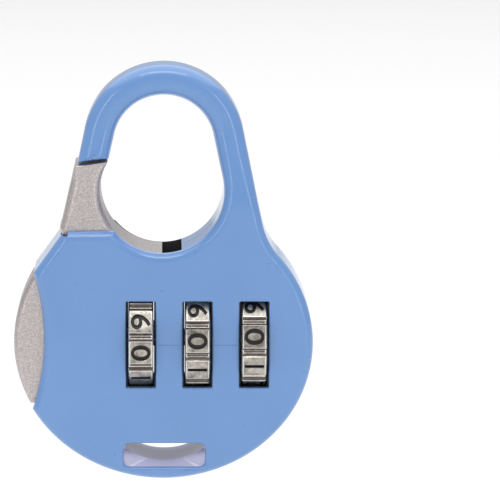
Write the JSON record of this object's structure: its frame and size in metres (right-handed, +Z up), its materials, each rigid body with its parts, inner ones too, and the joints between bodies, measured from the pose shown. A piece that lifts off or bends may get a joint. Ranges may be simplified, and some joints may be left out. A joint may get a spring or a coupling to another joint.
{
  "type": "combination padlock",
  "caption": "Flat round combination padlock with a fixed carabiner hook, a sprung gate lever with a thumb pad, number dials in windows on both faces and a lanyard slot.",
  "frame": {"origin": "the point the padlock hangs from: the inside of the hook's bow, at its top, midway through the thickness", "axes": "+X to the right seen from the front, +Z up along the hook, +Y towards the rear cover; the front face looks along -Y"},
  "size_m": [0.0521, 0.018, 0.0728],
  "materials": {
    "blue_paint": "gloss",
    "silver_paint": "satin, fine metallic grain",
    "dial_nickel": "gunmetal nickel, black digits",
    "steel": "satin",
    "spring_steel": "drawn wire and strip",
    "brass": "turned"
  },
  "bodies": {
    "case": {"front_housing": "blue_paint", "rear_cover": "blue_paint", "case_pins": "steel", "lever_guide_pins": "steel", "lever_spring": "spring_steel", "spindle_bush": "brass", "spindle_spring": "spring_steel", "spring_seat": "steel", "detent_comb": "spring_steel", "detent_screws": "steel"},
    "lever": {"gate_lever": "silver_paint"},
    "spindle_rod": {"spindle": "steel", "spindle_clip": "spring_steel"},
    "left_dial": {"dial_left": "dial_nickel", "sleeve_left": "brass"},
    "middle_dial": {"dial_middle": "dial_nickel", "sleeve_middle": "brass"},
    "right_dial": {"dial_right": "dial_nickel", "sleeve_right": "brass"}
  },
  "joints": [
    {"name": "gate_turn", "type": "hinge", "parent": "case", "child": "lever", "pos_m": [-0.0002, 0, -0.01655], "axis": [0, -1, 0], "range_deg": [0, 11], "stiffness_Nm_per_rad": 0.08, "springref_deg": -14.32, "deforming": ["lever_spring", "spindle_spring"]},
    {"name": "spindle_slide", "type": "slide", "parent": "case", "child": "spindle_rod", "axis": [1, 0, 0], "range_m": [0, 0.00312]},
    {"name": "left_dial_turn", "type": "hinge", "parent": "case", "child": "left_dial", "pos_m": [-0.0039, 0, -0.04335], "axis": [1, 0, 0], "continuous": true},
    {"name": "middle_dial_turn", "type": "hinge", "parent": "case", "child": "middle_dial", "pos_m": [0.00595, 0, -0.04335], "axis": [1, 0, 0], "continuous": true},
    {"name": "right_dial_turn", "type": "hinge", "parent": "case", "child": "right_dial", "pos_m": [0.0158, 0, -0.04335], "axis": [1, 0, 0], "continuous": true}
  ],
  "couplings": [
    {"joint": "spindle_slide", "follows": "gate_turn", "m_per_rad": 0.0162}
  ]
}
